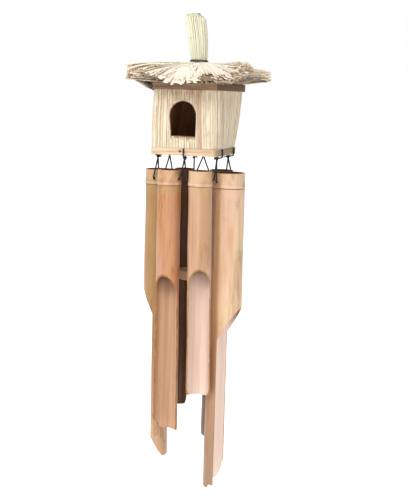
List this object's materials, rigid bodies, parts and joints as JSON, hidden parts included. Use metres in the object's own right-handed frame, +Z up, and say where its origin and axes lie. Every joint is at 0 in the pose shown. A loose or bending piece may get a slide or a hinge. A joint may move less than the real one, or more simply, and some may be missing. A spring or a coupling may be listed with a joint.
{
  "type": "wind chime",
  "caption": "Hanging wind chime: a small reed birdhouse with a square straw roof, from which scooped bamboo tubes hang on black cord around a wooden clapper.",
  "frame": {"origin": "centre of the hanging eye at the top of the straw bundle", "axes": "+Z up; the arched doorway faces -Y; the largest tube hangs on the +X side"},
  "size_m": [0.1604, 0.1603, 0.6302],
  "materials": {
    "straw_thatch": "pale dry straw, matte",
    "straw_bundle": "pale greenish straw, matte",
    "dark_tie": "dark waxed cord, matte",
    "black_cord": "twisted black nylon cord, slight sheen",
    "top_board_wood": "sawn softwood, matte",
    "base_board_wood": "sawn pale softwood, matte",
    "reed_strips": "split pale reed, satin",
    "bamboo": "smoke-tinted bamboo, satin skin and matte cut faces",
    "clapper_wood": "turned pale wood, matte"
  },
  "bodies": {
    "house": {"hanging_cord": "black_cord", "topknot": "straw_bundle", "topknot_tie": "dark_tie", "roof_thatch": "straw_thatch", "top_board": "top_board_wood", "front_wall": "reed_strips", "right_wall": "reed_strips", "back_wall": "reed_strips", "left_wall": "reed_strips", "base_board": "base_board_wood", "edge_ties": "black_cord", "clapper_anchor": "black_cord"},
    "cord_front_right_line": {"cord_front_right": "black_cord"},
    "tube_front_right_body": {"tube_front_right": "bamboo"},
    "cord_right_line": {"cord_right": "black_cord"},
    "tube_right_body": {"tube_right": "bamboo"},
    "cord_back_right_line": {"cord_back_right": "black_cord"},
    "tube_back_right_body": {"tube_back_right": "bamboo"},
    "cord_back_left_line": {"cord_back_left": "black_cord"},
    "tube_back_left_body": {"tube_back_left": "bamboo"},
    "cord_left_line": {"cord_left": "black_cord"},
    "tube_left_body": {"tube_left": "bamboo"},
    "cord_front_left_line": {"cord_front_left": "black_cord"},
    "tube_front_left_body": {"tube_front_left": "bamboo"},
    "clapper_gimbal": {"clapper_knot": "black_cord"},
    "clapper_line": {"clapper_cord": "black_cord"},
    "clapper_disc": {"clapper": "clapper_wood"}
  },
  "joints": [
    {"name": "front_right_cord_swing", "type": "hinge", "parent": "house", "child": "cord_front_right_line", "pos_m": [0.01925, -0.0335, -0.1759], "axis": [-0.9474, -0.3199, 0], "range_deg": [-0.6, 25]},
    {"name": "front_right_tube_rock", "type": "hinge", "parent": "cord_front_right_line", "child": "tube_front_right_body", "pos_m": [0.02142, -0.03931, -0.2021], "axis": [-0.9474, -0.3199, 0], "range_deg": [-0.25, 10]},
    {"name": "right_cord_swing", "type": "hinge", "parent": "house", "child": "cord_right_line", "pos_m": [0.0385, -0.0005, -0.1759], "axis": [0, -1, 0], "range_deg": [-0.6, 25]},
    {"name": "right_tube_rock", "type": "hinge", "parent": "cord_right_line", "child": "tube_right_body", "pos_m": [0.0371, 0, -0.2058], "axis": [0, -1, 0], "range_deg": [-0.25, 10]},
    {"name": "back_right_cord_swing", "type": "hinge", "parent": "house", "child": "cord_back_right_line", "pos_m": [0.01925, 0.033, -0.1759], "axis": [0.9398, -0.3417, 0], "range_deg": [-0.6, 25]},
    {"name": "back_right_tube_rock", "type": "hinge", "parent": "cord_back_right_line", "child": "tube_back_right_body", "pos_m": [0.02534, 0.04302, -0.2066], "axis": [0.9398, -0.3417, 0], "range_deg": [-0.25, 10]},
    {"name": "back_left_cord_swing", "type": "hinge", "parent": "house", "child": "cord_back_left_line", "pos_m": [-0.0205, 0.03, -0.1759], "axis": [0.8988, 0.4384, 0], "range_deg": [-0.6, 25]},
    {"name": "back_left_tube_rock", "type": "hinge", "parent": "cord_back_left_line", "child": "tube_back_left_body", "pos_m": [-0.02649, 0.03932, -0.2066], "axis": [0.8988, 0.4384, 0], "range_deg": [-0.25, 10]},
    {"name": "left_cord_swing", "type": "hinge", "parent": "house", "child": "cord_left_line", "pos_m": [-0.041, -0.0025, -0.1759], "axis": [0, 1, 0], "range_deg": [-0.6, 25]},
    {"name": "left_tube_rock", "type": "hinge", "parent": "cord_left_line", "child": "tube_left_body", "pos_m": [-0.0486, 0, -0.2059], "axis": [0, 1, 0], "range_deg": [-0.25, 10]},
    {"name": "front_left_cord_swing", "type": "hinge", "parent": "house", "child": "cord_front_left_line", "pos_m": [-0.0205, -0.0325, -0.1759], "axis": [-0.9391, 0.3436, 0], "range_deg": [-0.6, 25]},
    {"name": "front_left_tube_rock", "type": "hinge", "parent": "cord_front_left_line", "child": "tube_front_left_body", "pos_m": [-0.02016, -0.03827, -0.2025], "axis": [-0.9391, 0.3436, 0], "range_deg": [-0.25, 10]},
    {"name": "clapper_side_swing", "type": "hinge", "parent": "house", "child": "clapper_gimbal", "pos_m": [0, 0, -0.1759], "axis": [0, -1, 0], "range_deg": [-1.5, 1.5]},
    {"name": "clapper_fore_swing", "type": "hinge", "parent": "clapper_gimbal", "child": "clapper_line", "pos_m": [0, 0, -0.1759], "axis": [1, 0, 0], "range_deg": [-1.5, 1.5]},
    {"name": "clapper_spin", "type": "hinge", "parent": "clapper_line", "child": "clapper_disc", "pos_m": [0, 0, -0.3316], "axis": [0, 0, 1], "continuous": true}
  ]
}
